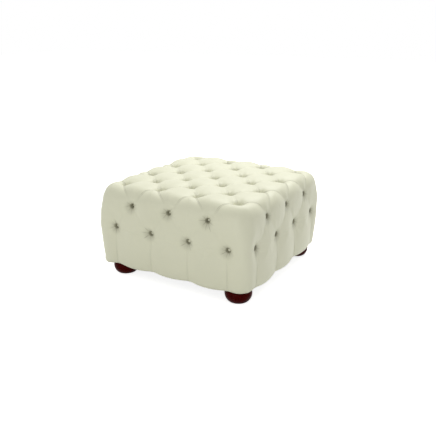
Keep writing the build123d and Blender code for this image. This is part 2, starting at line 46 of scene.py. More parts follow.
# The view: the camera stands where the photograph's perspective puts it, upright and with no shift.
# It looks at the middle of the picture, so the stool lies left of centre as it does there.
def new_object(name, data):
    """A new object in the scene."""
    made = bpy.data.objects.new(name, data)
    scene.collection.objects.link(made)
    return made


azimuth, elevation = math.radians(30.777), math.radians(18.774)
towards_camera = Vector((
    math.sin(azimuth) * math.cos(elevation),
    -math.cos(azimuth) * math.cos(elevation),
    math.sin(elevation),
))
camera_data = bpy.data.cameras.new("studio_camera")
camera_data.sensor_width = 36.0  # millimetres, as the lens
camera_data.lens = 47.97
camera = new_object("studio_camera", camera_data)
camera.location = (1.0611, -1.7537, 0.8715)
camera.rotation_mode = "QUATERNION"
camera.rotation_quaternion = (-towards_camera).to_track_quat("-Z", "Y")
scene.camera = camera
scene.view_settings.view_transform = "Standard"


# The room: a white world and a pale floor that show white to the camera and in reflections, while
# the light they give stays plain. The floor keeps a faint shadow under the stool.
def add_node(tree, kind, values=(), **options):
    """A node with its options set, and its inputs given plain values or linked to other outputs."""
    node = tree.nodes.new(kind)
    for name, value in options.items():
        setattr(node, name, value)
    for name, value in dict(values).items():
        if isinstance(value, bpy.types.NodeSocket):
            tree.links.new(value, node.inputs[name])
        else:
            node.inputs[name].default_value = value
    return node


def node_of_type(tree, kind):
    """The one node of a type in a tree."""
    return next(node for node in tree.nodes if node.type == kind)


def new_material(name, plain):
    """A material of one Principled shader, with the values that are the same all over it."""
    material = bpy.data.materials.new(name)
    material.use_nodes = True
    tree = material.node_tree
    shader = node_of_type(tree, "BSDF_PRINCIPLED")
    for socket, value in plain.items():
        shader.inputs[socket].default_value = value
    return material, tree, shader


def mesh_piece(name, points, faces, smooth=True):
    """A piece at the origin, with its place in its mesh."""
    mesh = bpy.data.meshes.new(name)
    mesh.from_pydata([tuple(point) for point in points], [], [tuple(face) for face in faces])
    mesh.update()
    if smooth:
        mesh.shade_smooth()
    return new_object(name, mesh)


def calculated(tree, operation, *values):
    """The result of a Math node."""
    return add_node(tree, "ShaderNodeMath", dict(enumerate(values)), operation=operation).outputs["Value"]


def lit_and_seen(tree, lighting, showing):
    """The first shader as a light, and the second for the camera, in a gloss or through glass."""
    path = add_node(tree, "ShaderNodeLightPath")
    seen = path.outputs["Is Camera Ray"]
    for kind in ("Is Glossy Ray", "Is Transmission Ray"):
        seen = calculated(tree, "MAXIMUM", seen, path.outputs[kind])
    return add_node(tree, "ShaderNodeMixShader", {"Fac": seen, 1: lighting, 2: showing}).outputs["Shader"]


world_light = 0.52
floor_reach = 12.0
floor_glow = 0.80
world = bpy.data.worlds.new("white_room")
scene.world = world
world.use_nodes = True
tree = world.node_tree
tree.nodes.clear()
plain = add_node(tree, "ShaderNodeBackground", {"Color": (1, 1, 1, 1), "Strength": world_light})
white = add_node(tree, "ShaderNodeBackground", {"Color": (1, 1, 1, 1), "Strength": 1.0})
surface = lit_and_seen(tree, plain.outputs["Background"], white.outputs["Background"])
add_node(tree, "ShaderNodeOutputWorld", {"Surface": surface})

floor_corners = [(x * floor_reach, y * floor_reach, 0) for x, y in ((-1, -1), (1, -1), (1, 1), (-1, 1))]
floor = mesh_piece("floor", floor_corners, [(0, 1, 2, 3)], smooth=False)
pale_floor, tree, shader = new_material(
    "pale_floor", {"Base Color": (0.8, 0.8, 0.8, 1), "Roughness": 0.9, "Specular IOR Level": 0.0}
)
glow = add_node(tree, "ShaderNodeEmission", {"Strength": floor_glow})
glowing = add_node(tree, "ShaderNodeAddShader", {0: shader.outputs["BSDF"], 1: glow.outputs["Emission"]})
surface = lit_and_seen(tree, shader.outputs["BSDF"], glowing.outputs["Shader"])
tree.links.new(surface, node_of_type(tree, "OUTPUT_MATERIAL").inputs["Surface"])
floor.data.materials.append(pale_floor)

# The lamps: a wide softbox high up behind the stool and a weak, low one in front, both
# aimed at it. The top edges turn from light to shade as they do in the photograph.
lamp_target = Vector((0.0, 0.0, 0.2))
for name, place, size, power in (
    ("back_softbox", (-0.15, 1.4, 2.5), 1.8, 47.0),
    ("front_softbox", (0.2, -2.6, 0.7), 1.0, 8.5),
):
    lamp_data = bpy.data.lights.new(name, "AREA")
    lamp_data.shape = "SQUARE"
    lamp_data.size = size
    lamp_data.energy = power
    lamp = new_object(name, lamp_data)
    lamp.location = place
    lamp.rotation_mode = "QUATERNION"
    lamp.rotation_quaternion = (lamp_target - Vector(place)).to_track_quat("-Z", "Y")


# The box frame: planed softwood rails, braces and corner blocks, butted and screwed. The boards keep
# their CAD shapes. The grain runs along each board, so there is a softwood for each direction.
def new_group(name, inputs, outputs, tree_kind="ShaderNodeTree"):
    """A group of nodes with named inputs and outputs, and its two end nodes."""
    group = bpy.data.node_groups.new(name, tree_kind)
    for in_out, sockets in (("INPUT", inputs), ("OUTPUT", outputs)):
        for socket_name, kind in sockets.items():
            group.interface.new_socket(name=socket_name, in_out=in_out, socket_type="NodeSocket" + kind)
    return group, add_node(group, "NodeGroupInput"), add_node(group, "NodeGroupOutput")


def mixed_colour(tree, first, second, factor, blend="MIX"):
    """The first colour going over to the second by a factor."""
    mix = add_node(
        tree, "ShaderNodeMix", {0: factor, 6: first, 7: second}, data_type="RGBA", blend_type=blend
    )
    return mix.outputs[2]


def ramped(tree, value, start, end, low, high):
    """A value that goes smoothly from low to high as the one it reads goes from start to end."""
    node = add_node(
        tree,
        "ShaderNodeMapRange",
        {"Value": value, "From Min": start, "From Max": end, "To Min": low, "To Max": high},
        interpolation_type="SMOOTHSTEP",
    )
    return node.outputs["Result"]


def surfaced(tree, shader, colour, height, depth):
    """Gives a shader its colour and the relief of a height."""
    bump = add_node(tree, "ShaderNodeBump", {"Height": height, "Distance": depth, "Strength": 1.0})
    tree.links.new(colour, shader.inputs["Base Color"])
    tree.links.new(bump.outputs["Normal"], shader.inputs["Normal"])


def own_space(tree):
    """Places in the piece's own space, which its patterns lie in."""
    return add_node(tree, "ShaderNodeTexCoord").outputs["Object"]


def pattern(tree, kind, where, scale, values=(), **options):
    """A texture node of a kind, laid over places at a scale."""
    return add_node(
        tree, f"ShaderNodeTex{kind}", {"Vector": where, "Scale": scale, **dict(values)}, **options
    )


def grouped(tree, group, where, values):
    """A shader group's node, laid over places."""
    return add_node(tree, "ShaderNodeGroup", {"Vector": where, **values}, node_tree=group)


wood_grain, given, taken = new_group(
    "wood_grain",
    {"Vector": "Vector", "Early Wood": "Color", "Late Wood": "Color", "Rings": "Float"},
    {"Color": "Color", "Height": "Float"},
)
where = given.outputs["Vector"]
waves = {"Distortion": 5.0, "Detail": 3.0}
rings = pattern(wood_grain, "Wave", where, given.outputs["Rings"], waves, bands_direction="DIAGONAL")
pores = pattern(wood_grain, "Noise", where, scale=900.0, values={"Detail": 2.0})
banded = mixed_colour(
    wood_grain, given.outputs["Early Wood"], given.outputs["Late Wood"], rings.outputs["Fac"]
)
ring_relief = 0.5
pored = ramped(wood_grain, pores.outputs["Fac"], 0.35, 0.6, low=0.78, high=1.0)
wood_grain.links.new(mixed_colour(wood_grain, banded, pored, 1.0, "MULTIPLY"), taken.inputs["Color"])
relief = calculated(wood_grain, "MULTIPLY_ADD", rings.outputs["Fac"], ring_relief, pored)
wood_grain.links.new(relief, taken.inputs["Height"])


def wood(name, along, early, late, ring_scale, plain, depth=0.0003):
    """A wood whose grain is stretched by its scale on each axis, and the colour that its shader takes."""
    material, tree, shader = new_material(name, plain)
    stretched = add_node(tree, "ShaderNodeMapping", {"Vector": own_space(tree), "Scale": along})
    tones = {"Early Wood": early, "Late Wood": late, "Rings": ring_scale}
    grain = grouped(tree, wood_grain, stretched.outputs["Vector"], tones)
    surfaced(tree, shader, grain.outputs["Color"], grain.outputs["Height"], depth)
    return material, tree, shader, grain.outputs["Color"]


def finish(material, *names):
    """Gives CAD pieces that keep their shape their finish."""
    for name in names:
        cad[name].data.materials.clear()
        cad[name].data.materials.append(material)


corners = ("front_left", "front_right", "back_right", "back_left")
sides = ("front", "right", "back", "left")
stretch = 0.06
planed = {"Roughness": 0.62, "Specular IOR Level": 0.3}
early_pine, late_pine = (0.66, 0.46, 0.24, 1), (0.47, 0.28, 0.12, 1)
for name, along, boards in (
    ("softwood_across", (stretch, 1, 1), ("front_rail", "back_rail", "front_brace", "back_brace")),
    ("softwood_deep", (1, stretch, 1), ("left_rail", "right_rail")),
    ("softwood_upright", (1, 1, stretch), [f"{corner}_block" for corner in corners]),
):
    finish(wood(name, along, early_pine, late_pine, ring_scale=55.0, plain=planed)[0], *boards)

# The deck: a birch plywood board screwed down on the rails and braces, with its plies at the edges.
ply_thickness = 0.0015
early_birch, late_birch = (0.71, 0.55, 0.35, 1), (0.6, 0.43, 0.25, 1)
plywood, tree, shader, faces_colour = wood(
    "birch_plywood", (stretch, 1, 1), early_birch, late_birch, ring_scale=30.0, plain=planed
)
height = add_node(tree, "ShaderNodeSeparateXYZ", {0: own_space(tree)})
ply = calculated(tree, "PINGPONG", height.outputs["Z"], ply_thickness)
ply_tone = ramped(tree, ply, 0.4 * ply_thickness, 0.6 * ply_thickness, low=0.62, high=1.0)
geometry = add_node(tree, "ShaderNodeNewGeometry")
facing = add_node(tree, "ShaderNodeSeparateXYZ", {0: geometry.outputs["Normal"]})
edge_on = ramped(tree, calculated(tree, "ABSOLUTE", facing.outputs["Z"]), 0.3, 0.7, low=1.0, high=0.0)
plies = mixed_colour(tree, faces_colour, ply_tone, edge_on, "MULTIPLY")
tree.links.new(plies, shader.inputs["Base Color"])
finish(plywood, "deck_board")

# Screws, bolts, washers, eyes and staples: plated steel, bright or yellow, dulled in slow patches and
# finely scratched. They keep their CAD shapes.
plated, given, taken = new_group(
    "plated_steel",
    {"Vector": "Vector", "Bright": "Color", "Dull": "Color"},
    {"Color": "Color", "Roughness": "Float", "Height": "Float"},
)
where = given.outputs["Vector"]
patches = pattern(plated, "Noise", where, scale=260.0, values={"Detail": 3.0})
scratches = pattern(plated, "Noise", where, scale=2600.0, values={"Detail": 1.0})
plated.links.new(
    mixed_colour(plated, given.outputs["Bright"], given.outputs["Dull"], patches.outputs["Fac"]),
    taken.inputs["Color"],
)
dulled = ramped(plated, patches.outputs["Fac"], 0.3, 0.7, low=0.26, high=0.45)
plated.links.new(dulled, taken.inputs["Roughness"])
plated.links.new(scratches.outputs["Fac"], taken.inputs["Height"])
for name, bright, dull, pieces in (
    ("bright_zinc", (0.70, 0.70, 0.71, 1), (0.52, 0.53, 0.55, 1), ("hanger_bolts",)),
    (
        "yellow_zinc",
        (0.72, 0.62, 0.38, 1),
        (0.58, 0.46, 0.24, 1),
        ("rail_screws", "block_screws", "brace_screws", "deck_screws", "threaded_inserts"),
    ),
    (
        "tumbled_zinc",
        (0.66, 0.67, 0.68, 1),
        (0.50, 0.51, 0.52, 1),
        [f"{side}_{kind}" for side in ("top", *sides) for kind in ("washers", "button_eyes")],
    ),
    ("galvanised_wire", (0.74, 0.74, 0.75, 1), (0.6, 0.6, 0.62, 1), ("cover_staples", "dust_cover_staples")),
):
    steel, tree, shader = new_material(name, {"Metallic": 1.0})
    coat = grouped(tree, plated, own_space(tree), {"Bright": bright, "Dull": dull})
    tree.links.new(coat.outputs["Roughness"], shader.inputs["Roughness"])
    surfaced(tree, shader, coat.outputs["Color"], coat.outputs["Height"], depth=0.00004)
    finish(steel, *pieces)

# The stuffed form that foam, wadding and leather share. Each side is unfolded onto one plane with the
# top, x out from the middle and y along the side, so the button pattern runs on over the edges. Each
# place on it is pushed in by the wells of its buttons and by the pleats from button to button.
pitch, half_side = 0.150, 0.300
base_z, crown_z = 0.043, 0.338
edge_radius, hem_radius = 0.050, 0.014
edge_centre = half_side - edge_radius
row = 0.225
upper_z, lower_z = crown_z - 0.062, crown_z - 0.148
edge_start = edge_centre - row
edge_run = edge_radius * math.pi / 2
hem_run = hem_radius * math.pi / 2
upper_run = edge_start + edge_run + crown_z - edge_radius - upper_z
lower_run = upper_run + upper_z - lower_z
hem_start = lower_run + lower_z - base_z - hem_radius
turned_under = 0.041
step_pitch = pitch / 2

# The buttons stand on every other place of a grid of half pitches, counted from the middle
outermost = 3
grid = range(-outermost, outermost + 1)
upper_row, lower_row = (-2, 0, 2), (-3, -1, 1, 3)
buttons = [(i * step_pitch, j * step_pitch, "top") for i in grid for j in grid if (i + j) % 2 == 0]
buttons += [(row + upper_run, j * step_pitch, "upper") for j in upper_row]
buttons += [(row + lower_run, j * step_pitch, "lower") for j in lower_row]
pleats = [
    ((i * step_pitch, j * step_pitch), ((i + 1) * step_pitch, (j + turn) * step_pitch), "top")
    for i in grid[:-1]
    for j in grid
    for turn in (-1, 1)
    if (i + j) % 2 == 0 and j + turn in grid
]
sheet_end = row + hem_start + hem_run + turned_under
for j in lower_row:
    along = j * step_pitch
    for turn in (-1, 1):
        if j + turn in upper_row:
            joined = (row + upper_run, (j + turn) * step_pitch)
            pleats.append(((row, along), joined, "edge"))
            pleats.append(((row + lower_run, along), joined, "side"))
    pleats.append(((row + lower_run, along), (sheet_end, along), "hem"))

# Depth of a pleat at its first button, its middle and its other end, its reach to each side, how
# softly its sides meet, and how plain its fold shows at its start, middle and end.
pleat_kinds = {
    "top": (0.0120, 0.0050, 0.0120, 0.050, 0.006, (0.8, 0.0, 0.8)),
    "edge": (0.0110, 0.0065, 0.0080, 0.050, 0.004, (1.0, 0.7, -0.7)),
    "side": (0.0075, 0.0050, 0.0075, 0.055, 0.012, (0.0, 0.10, 0.0)),
    "hem": (0.0115, 0.0070, 0.0095, 0.064, 0.008, (0.0, 0.35, 0.3)),
}
# Depth of a well, the share of it in its pinched core, the core's floor and reach, and the reach of
# the dimple round it
well_kinds = {
    "top": (0.0275, 0.70, 0.0070, 0.046, 0.058),
    "upper": (0.0295, 0.66, 0.0012, 0.023, 0.056),
    "lower": (0.0280, 0.66, 0.0012, 0.023, 0.056),
}
# The power that keeps a pleat near its middle depth for most of its way, and a distance past them all
pleat_bow, far_off = 1.6, 1.0


def pushed_in(x, y):
    """How far the form is pushed in at places on one unfolded side, and what lies nearest to each."""
    pleat_push = np.zeros_like(x)
    fold = np.full_like(x, far_off)
    across_fold = np.full_like(x, far_off)
    fold_strength = np.zeros_like(x)
    for (x0, y0), (x1, y1), kind in pleats:
        start, middle, end, reach, softness, strengths = pleat_kinds[kind]
        run_x, run_y = x1 - x0, y1 - y0
        along = np.clip(((x - x0) * run_x + (y - y0) * run_y) / (run_x**2 + run_y**2), 0, 1)
        away = np.hypot(x - x0 - along * run_x, y - y0 - along * run_y)
        from_middle = np.abs(2 * along - 1) ** pleat_bow
        depth = middle + np.where(along < 0.5, start - middle, end - middle) * from_middle
        rounded = np.hypot(away, softness) - softness
        pleat_push = np.maximum(pleat_push, depth * np.clip(1 - rounded / reach, 0, 1) ** 2)
        nearer = away < fold
        fold = np.where(nearer, away, fold)
        across = ((x - x0) * run_y - (y - y0) * run_x) / math.hypot(run_x, run_y)
        across_fold = np.where(nearer, across, across_fold)
        plainness = np.maximum(np.interp(along, (0, 0.5, 1), strengths), 0)
        fold_strength = np.where(nearer, plainness, fold_strength)
    well_push = np.zeros_like(x)
    nearest = np.full_like(x, far_off)
    offset = np.zeros((len(x), 3))
    for number, (button_x, button_y, kind) in enumerate(buttons):
        depth, core_share, floor_radius, core_reach, dimple_reach = well_kinds[kind]
        away = np.hypot(x - button_x, y - button_y)
        core = np.clip(1 - np.maximum(away - floor_radius, 0) / core_reach, 0, 1) ** 4
        dimple = np.clip(1 - away / dimple_reach, 0, 1) ** 2
        well_push = np.maximum(well_push, depth * (core_share * core + (1 - core_share) * dimple))
        nearer = away < nearest
        nearest = np.where(nearer, away, nearest)
        from_button = np.stack([x - button_x, y - button_y, np.full_like(x, number)], axis=1)
        offset[nearer] = from_button[nearer]
    push = (pleat_push**3 + well_push**3) ** (1 / 3)
    return push, fold, fold_strength, across_fold, nearest, offset


def profile(run):
    """Distance from the middle, height and tilt of the normal, at a run out from the outer row and down."""
    if run <= edge_start:
        return row + run, crown_z, 0.0
    if run <= edge_start + edge_run:
        tilt = (run - edge_start) / edge_radius
        z = crown_z - edge_radius + edge_radius * math.cos(tilt)
        return edge_centre + edge_radius * math.sin(tilt), z, tilt
    if run <= hem_start:
        return half_side, crown_z - edge_radius - (run - edge_start - edge_run), math.pi / 2
    tilt = min((run - hem_start) / hem_radius, math.pi / 2)
    under = max(run - hem_start - hem_run, 0.0)
    out = half_side - hem_radius + hem_radius * math.cos(tilt) - under
    return out, base_z + hem_radius - hem_radius * math.sin(tilt), math.pi / 2 + tilt


def grid_faces(rows, columns):
    """The faces of a grid of points that are numbered row by row."""
    around = ((0, 0), (1, 0), (1, 1), (0, 1))
    return [
        [(i + di) * columns + j + dj for di, dj in around]
        for i in range(rows - 1)
        for j in range(columns - 1)
    ]


def spaced(start, end, count, crowding=0.35, ends=2):
    """Places from start to end, crowded towards both ends or towards the first one only."""
    share = np.linspace(0, 1, count + 1)
    wave = math.pi * ends
    return list(start + (end - start) * (share - crowding * np.sin(wave * share) / wave))


# The pleats over an edge are all folded the same way round, so they sway to one side and back. The
# power lets the sway die out at the corners.
pleat_sway, sway_power = 0.007, 8


def unfolded_form(steps, last_run):
    """The form's points with their normals and places on the unfolded side, and its faces."""
    cells = 2 * outermost
    level = spaced(-row, -row + step_pitch, steps)
    for i in range(1, cells):
        level += spaced(-row + i * step_pitch, -row + (i + 1) * step_pitch, steps)[1:]
    runs = spaced(0, upper_run, steps + 2) + spaced(upper_run, lower_run, steps + 2)[1:]
    runs += spaced(lower_run, hem_start, 2 * steps - 4, 0.5, 1)[1:]
    hem_end, hem_steps, under_steps = hem_start + hem_run, 6, 3
    if last_run > hem_end:
        runs += list(np.linspace(hem_start, hem_end, hem_steps + 1)[1:])
        runs += list(np.linspace(hem_end, last_run, under_steps + 1)[1:])
    columns, bend_steps = cells * steps, steps + 10
    bend = spaced(0, 1, bend_steps)
    points, normals, charts = [], [], []
    index = {}

    def add_point(key, place, normal, chart, turn):
        """Adds a point of the right side, brought round to another side by quarter turns."""
        index[key] = len(points)
        cos, sin = ((1, 0), (0, 1), (-1, 0), (0, -1))[turn]
        for kept, (x, y, z) in ((points, place), (normals, normal)):
            kept.append((cos * x - sin * y, sin * x + cos * y, z))
        charts.append(chart)

    def ring_key(turn, r, q):
        """The key of a ring's point. The first ring is the rim of the top, and sides share their ends."""
        if r == 0:
            q = min(q, columns)
            return ("top", *((columns, q), (columns - q, columns), (0, columns - q), (q, 0))[turn])
        if q == columns + bend_steps:
            return ((turn + 1) % 4, r, 0)
        return (turn, r, q)

    for i, x in enumerate(level):
        for j, y in enumerate(level):
            add_point(("top", i, j), (x, y, crown_z), (0, 0, 1), (x, y), 0)
    top_count = len(points)
    for turn in range(4):
        for r, run in enumerate(runs[1:], start=1):
            out, z, tilt = profile(run)
            lean, lift = math.sin(tilt), math.cos(tilt)
            sway = pleat_sway * math.sin(2 * math.pi * min(run / upper_run, 1)) * (-1) ** turn
            for q, y in enumerate(level):
                swayed = y + sway * (1 - (y / row) ** sway_power)
                add_point((turn, r, q), (out, swayed, z), (lean, 0, lift), (row + run, y), turn)
            straight = max(min(out, edge_centre) - row, 0.0)
            radius = max(out - half_side + edge_radius, 0.0)
            length = 2 * straight + radius * math.pi / 2
            for c in range(1, bend_steps):
                along = length * bend[c]
                if along <= straight:
                    place, way = (out, row + along), (1.0, 0.0)
                elif along < length - straight:
                    angle = (along - straight) / radius
                    way = (math.cos(angle), math.sin(angle))
                    place = (edge_centre + radius * way[0], edge_centre + radius * way[1])
                else:
                    place, way = (row + length - along, out), (0.0, 1.0)
                chart = (row + run, row + min(along, length - along))
                normal = (way[0] * lean, way[1] * lean, lift)
                add_point((turn, r, columns + c), (*place, z), normal, chart, turn)

    faces = grid_faces(columns + 1, columns + 1)
    for turn in range(4):
        for r in range(len(runs) - 1):
            for q in range(columns + bend_steps):
                around = ((r, q), (r + 1, q), (r + 1, q + 1), (r, q + 1))
                ring = [index[ring_key(turn, *key)] for key in around]
                faces.append(ring[:3] if ring[0] == ring[3] else ring)
    return np.array(points), np.array(normals), np.array(charts), faces, top_count


# How far each upright corner bulges, and at which height, how far it draws in at its foot and drops
# at the crown. The drop reaches farther in than the rest.
corner_stuffing = {
    (-1, -1): (0.011, 0.19, -0.006, 0.008),
    (1, -1): (0.006, 0.17, 0.008, 0.009),
    (1, 1): (0.003, 0.17, 0.013, 0.015),
    (-1, 1): (0.007, 0.17, 0.008, 0.013),
}
waist_reach = 0.12
draw_start, draw_run = 0.16, 0.12
drop_start, drop_rise, drop_inner = 0.24, 0.06, 0.17
swell = 0.0008


def settled(x, y, z):
    """How hand stuffing leaves the form: a slow swell, and corners that bulge, draw in and drop."""
    push = swell * np.sin(23 * x + 1.3) * np.sin(19 * y + 0.4)
    push += swell * np.sin(31 * y + 17 * z) * np.sin(13 * x - 9 * z + 2)
    inner = np.minimum(np.abs(x), np.abs(y))
    corner = np.clip((inner - row) / (half_side - edge_radius / 2 - row), 0, 1)
    wide_corner = np.clip((inner - drop_inner) / (half_side - edge_radius / 3 - drop_inner), 0, 1)
    for (side_x, side_y), (bulge, waist_height, draw, drop) in corner_stuffing.items():
        here = (x * side_x > 0) & (y * side_y > 0)
        waist = np.clip(1 - np.abs(z - waist_height) / waist_reach, 0, 1)
        push -= here * bulge * corner**1.5 * waist**0.7
        push += here * draw * corner**1.5 * np.clip((draw_start - z) / draw_run, 0, 1) ** 1.5
        push += here * drop * wide_corner**2 * np.clip((z - drop_start) / drop_rise, 0, 1)
    return push


# Where the push fades out before the turned-under leather, counted from the end of the bottom bend
fade_lead, fade_run = 0.010, 0.024


def tufted(points, charts, top_count):
    """The push at each point of a form, with its nearest fold and button."""
    found = list(pushed_in(charts[:, 0], charts[:, 1]))
    x, y = charts[:top_count, 0], charts[:top_count, 1]
    for turn in range(3):
        x, y = y, -x
        push, fold, fold_strength, across_fold = pushed_in(x, y)[:4]
        found[0][:top_count] = np.maximum(found[0][:top_count], push)
        nearer = fold < found[1][:top_count]
        found[1][:top_count][nearer] = fold[nearer]
        found[2][:top_count][nearer] = fold_strength[nearer]
        found[3][:top_count][nearer] = across_fold[nearer]
    # Round a button of the top, the offset is measured on the top itself, so that it runs on over
    # the edges of all four sides
    top_buttons = np.array([(x, y) for x, y, kind in buttons if kind == "top"])
    by_top = np.nonzero(found[5][:, 2] < len(top_buttons))[0]
    apart = points[by_top, None, :2] - top_buttons
    number = np.argmin((apart**2).sum(axis=2), axis=1)
    found[5][by_top, :2] = apart[np.arange(len(by_top)), number]
    found[5][by_top, 2] = number
    x, y, z = points.T
    # The push runs out past the bottom edge, so that the turned-under leather lies flat on the rails
    past_edge = charts[:, 0] - row - hem_start - hem_run
    turned_in = np.clip((past_edge + fade_lead) / fade_run, 0, 1)
    found[0] = (found[0] + settled(x, y, z)) * (1 - turned_in**2 * (3 - 2 * turned_in))
    return found


# The foam: five blocks of pale seating foam glued on the deck and the rails, dented where the
# buttons pull through them. Each is a closed block, crowned towards its middle.
spun, given, taken = new_group(
    "spun_fibres",
    {"Vector": "Vector", "Light Fibre": "Color", "Dark Fibre": "Color", "Fibres": "Float"},
    {"Color": "Color", "Height": "Float"},
)
crossing = None
for along in ((1, 0.12, 0.5), (0.12, 1, 0.5), (0.5, 0.5, 0.12)):
    stretched = add_node(spun, "ShaderNodeMapping", {"Vector": given.outputs["Vector"], "Scale": along})
    places = stretched.outputs["Vector"]
    strand = pattern(spun, "Noise", places, given.outputs["Fibres"], {"Detail": 2.0}).outputs["Fac"]
    crossing = strand if crossing is None else calculated(spun, "MAXIMUM", crossing, strand)
thread = ramped(spun, crossing, 0.45, 0.75, low=0.0, high=1.0)
fibre_colour = mixed_colour(spun, given.outputs["Dark Fibre"], given.outputs["Light Fibre"], thread)
spun.links.new(fibre_colour, taken.inputs["Color"])
spun.links.new(thread, taken.inputs["Height"])

foam, tree, shader = new_material("seating_foam", {"Roughness": 0.95, "Specular IOR Level": 0.1})
# The cell hollows are a darker yellow than the walls: painted shade in them.
shaded_hollow_yellow, wall_yellow = (0.62, 0.52, 0.26, 1), (0.82, 0.74, 0.46, 1)
from_cell = pattern(tree, "Voronoi", own_space(tree), scale=950.0).outputs["Distance"]
foam_colour = mixed_colour(tree, shaded_hollow_yellow, wall_yellow, from_cell)
surfaced(tree, shader, foam_colour, from_cell, depth=0.0005)

# The share of the form's push that reaches the foam, and how deep the foam lies under the leather
foam_push_share, foam_depth = 0.7, 0.0142
foam_radius = edge_radius - foam_depth
wide_count, low_count = 61, 31
foam_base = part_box("front_foam")[0][2]


def rounded_off(points, inset):
    """Points of a block, held inside the rounded core of the form and pushed in from its outside."""
    core = points.copy()
    level = half_side - foam_depth - foam_radius
    core[:, :2] = np.clip(core[:, :2], -level, level)
    core[:, 2] = np.clip(core[:, 2], foam_base + foam_radius, crown_z - foam_depth - foam_radius)
    away = points - core
    length = np.maximum(np.linalg.norm(away, axis=1), 1e-9)
    share = np.clip(length / foam_radius, 0, 1)
    kept = np.minimum(length, foam_radius) - inset - share * np.maximum(settled(*points.T), 0)
    return core + away * (kept / length)[:, None]


def shell_faces(faces, count):
    """A closed shell's faces: a sheet, the sheet behind it turned over, and the rim between them."""
    edges = dict.fromkeys((a, b) for face in faces for a, b in zip(face, face[1:] + face[:1]))
    behind = [[count + k for k in reversed(face)] for face in faces]
    rim = [[b, a, count + a, count + b] for a, b in edges if (b, a) not in edges]
    return faces + behind + rim


for name in ("top", *sides):
    low, high = (np.array(corner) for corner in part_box(f"{name}_foam"))
    if name == "top":
        across, up, out = 0, 1, 2
    else:
        across, up, out = (0, 2, 1) if name in ("front", "back") else (1, 2, 0)
    outward = -1 if name in ("front", "left") else 1
    outer, inner = (high[out], low[out]) if outward > 0 else (low[out], high[out])
    u = np.linspace(low[across], high[across], wide_count)
    v = np.linspace(low[up], high[up], wide_count if name == "top" else low_count)
    grid_u, grid_v = (axis.ravel() for axis in np.meshgrid(u, v, indexing="ij"))
    if name == "top":
        push = pushed_in(grid_u, grid_v)[0]
    else:
        push = pushed_in(row + edge_start + edge_run + crown_z - edge_radius - grid_v, grid_u)[0]
    count = len(grid_u)
    points = np.zeros((2 * count, 3))
    points[:, across] = np.tile(grid_u, 2)
    points[:, up] = np.tile(grid_v, 2)
    points[:, out] = np.repeat((outer, inner), count)
    points = rounded_off(points, np.append(foam_push_share * push, np.zeros(count)))
    faces = shell_faces(grid_faces(len(u), len(v)), count)
    # Across and up make a left-handed pair with out on the front and back, so their faces turn over
    if (across, up, out) == (0, 2, 1):
        outward = -outward
    if outward < 0:
        faces = [face[::-1] for face in faces]
    block = mesh_piece(f"{name}_foam_block", points, faces)
    block.data.materials.append(foam)
    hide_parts(f"{name}_foam")
    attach(block, "root")

# The wadding: a blanket of white polyester over the foam, a closed layer that follows the form a
# little inside the leather. It thins out in the wells.
wadding_gap, wadding_back = 0.0035, 0.0120
points, normals, charts, faces, top_count = unfolded_form(steps=8, last_run=hem_start)
push = tufted(points, charts, top_count)[0][:, None]
shell = np.concatenate([
    points - normals * (push + wadding_gap),
    points - normals * (foam_push_share * push + wadding_back),
])
wadding = mesh_piece("wadding_blanket", shell, shell_faces(faces, len(points)))
fibres, tree, shader = new_material("polyester_wadding", {"Roughness": 0.9, "Specular IOR Level": 0.15})
tones = {"Light Fibre": (0.86, 0.86, 0.84, 1), "Dark Fibre": (0.7, 0.7, 0.69, 1), "Fibres": 420.0}
fleece = grouped(tree, spun, own_space(tree), tones)
surfaced(tree, shader, fleece.outputs["Color"], fleece.outputs["Height"], depth=0.0012)
wadding.data.materials.append(fibres)
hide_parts("wadding")
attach(wadding, "root")

# The twines: waxed and twisted, from each button's eye to its washer. They keep their CAD shapes.
twine, tree, shader = new_material("waxed_twine", {"Roughness": 0.55, "Specular IOR Level": 0.4})
where = own_space(tree)
lay = pattern(tree, "Wave", where, 260.0, {"Distortion": 1.0}, bands_direction="DIAGONAL").outputs["Fac"]
tones = {"Light Fibre": (0.74, 0.66, 0.46, 1), "Dark Fibre": (0.5, 0.42, 0.27, 1), "Fibres": 2400.0}
yarn = grouped(tree, spun, where, tones)
# The grooves between the twisted strands are darker: painted shade.
between = ramped(tree, lay, 0.1, 0.6, low=0.72, high=1.0)
twisted = mixed_colour(tree, yarn.outputs["Color"], between, 1.0, "MULTIPLY")
surfaced(tree, shader, twisted, lay, depth=0.00025)
finish(twine, *[f"{side}_twines" for side in ("top", *sides)])

# The cover: ivory leather, smooth and satin, drawn in at each button so that it folds into diamonds,
# turned in under the rails and stapled. It is one sheet, 1.2 mm thick.
leather_thickness = 0.0012
last_run = hem_start + hem_run + turned_under
points, normals, charts, faces, top_count = unfolded_form(steps=20, last_run=last_run)
push, fold, fold_strength, across_fold, nearest, offset = tufted(points, charts, top_count)


